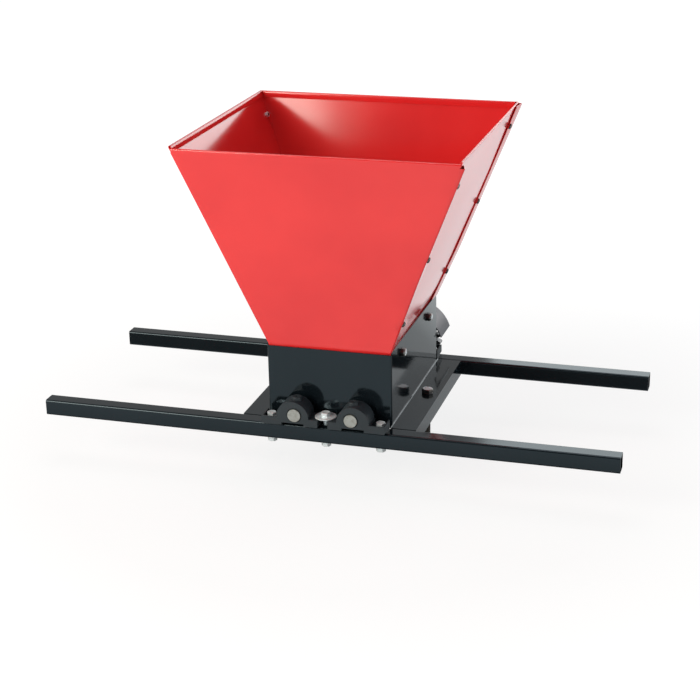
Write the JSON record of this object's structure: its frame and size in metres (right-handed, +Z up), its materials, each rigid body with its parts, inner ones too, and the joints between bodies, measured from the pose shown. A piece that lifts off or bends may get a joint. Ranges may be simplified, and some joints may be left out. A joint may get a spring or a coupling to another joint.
{
  "type": "grape crusher",
  "caption": "Hand-cranked grape crusher: a tapered hopper feeds fruit between geared fluted rollers in a box, carried on square bars that lie across a tub.",
  "frame": {"origin": "midway between the two bars and between the two roller shafts, level with the bars' underside", "axes": "+X to the right along the bars, +Y to the back, where the gears and the crank are, +Z up"},
  "size_m": [0.9, 0.532, 0.528],
  "materials": {
    "red_paint": "gloss",
    "black_paint": "gloss",
    "bearing_black": "painted black",
    "zinc": "bright zinc",
    "dark_steel": "blackened",
    "shaft_steel": "turned",
    "roller_aluminium": "as cast",
    "gear_iron": "oiled",
    "grip_plastic": "matte"
  },
  "bodies": {
    "frame": {"front_bar": "black_paint", "rear_bar": "black_paint", "front_wall": "black_paint", "rear_wall": "black_paint", "left_wall": "black_paint", "right_wall": "black_paint", "hopper_front_panel": "red_paint", "hopper_back_panel": "red_paint", "hopper_left_panel": "red_paint", "hopper_right_panel": "red_paint", "hopper_corner_screws": "dark_steel", "hopper_corner_nuts": "zinc", "hopper_bolts": "zinc", "hopper_bolt_nuts": "zinc", "front_left_bearing": "bearing_black", "front_right_bearing": "bearing_black", "rear_left_bearing": "bearing_black", "rear_right_bearing": "bearing_black", "bearing_foot_bolts": "zinc", "bearing_foot_washers": "zinc", "bearing_clamp_bolts": "zinc", "bearing_clamp_washers": "zinc", "bar_washers": "zinc", "bar_nuts": "zinc", "tub_pegs": "zinc", "tub_peg_washers": "zinc", "tub_peg_nuts": "zinc", "gear_guard": "black_paint", "guard_screws": "dark_steel", "guard_nuts": "zinc"},
    "drive_rotor": {"drive_shaft": "shaft_steel", "drive_roller": "roller_aluminium", "drive_roller_pins": "dark_steel", "drive_gear": "gear_iron", "drive_gear_pin": "dark_steel", "crank_arm": "black_paint", "crank_pin": "dark_steel", "grip_spindle": "zinc", "spindle_nut": "zinc"},
    "driven_rotor": {"driven_shaft": "shaft_steel", "driven_roller": "roller_aluminium", "driven_roller_pins": "dark_steel", "driven_gear": "gear_iron", "driven_gear_pin": "dark_steel"},
    "hand_grip": {"crank_grip": "grip_plastic"}
  },
  "joints": [
    {"name": "crank_turn", "type": "hinge", "parent": "frame", "child": "drive_rotor", "pos_m": [-0.044, 0, 0.04356], "axis": [0, 1, 0], "continuous": true},
    {"name": "driven_roller_turn", "type": "hinge", "parent": "frame", "child": "driven_rotor", "pos_m": [0.044, 0, 0.04356], "axis": [0, 1, 0], "continuous": true},
    {"name": "grip_turn", "type": "hinge", "parent": "drive_rotor", "child": "hand_grip", "pos_m": [-0.044, 0.275, 0.24356], "axis": [0, 1, 0], "continuous": true}
  ],
  "couplings": [
    {"joint": "driven_roller_turn", "follows": "crank_turn", "ratio": -1}
  ]
}
